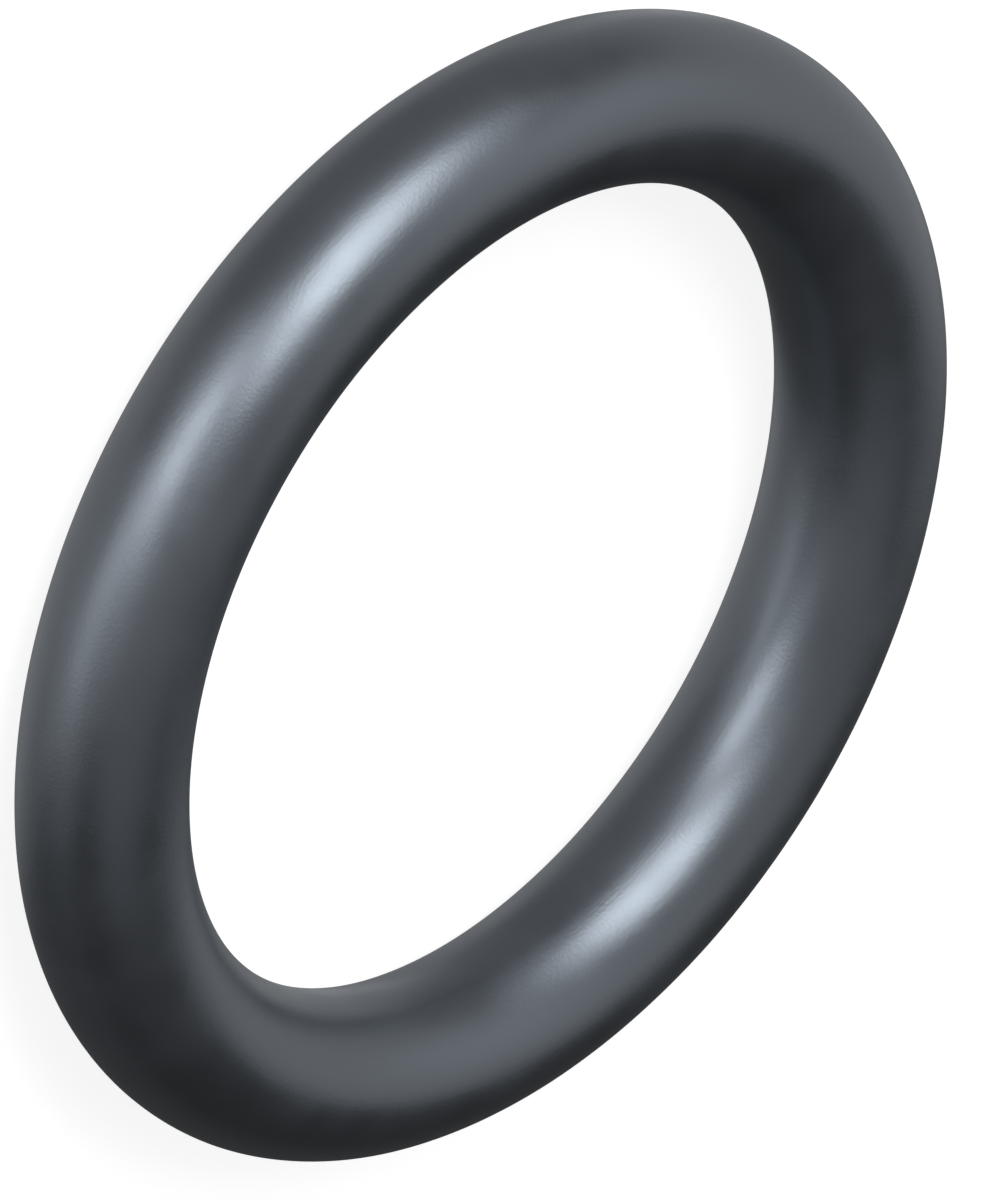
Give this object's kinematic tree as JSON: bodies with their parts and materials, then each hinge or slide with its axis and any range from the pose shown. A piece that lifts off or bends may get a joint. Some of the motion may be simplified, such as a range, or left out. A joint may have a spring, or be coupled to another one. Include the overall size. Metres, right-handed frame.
{
  "type": "o-ring",
  "caption": "Round-section rubber sealing ring, plain satin black, lying flat.",
  "frame": {"origin": "centre of the ring, on its axis and half way up its round section", "axes": "+Z along the ring's axis, X and Y in its plane; the ring lies flat with its lowest line at z = -1.2 mm"},
  "size_m": [0.0172, 0.0172, 0.0024],
  "materials": {
    "rubber": "satin black, moulded"
  },
  "bodies": {
    "root": {"o_ring": "rubber"}
  },
  "joints": []
}
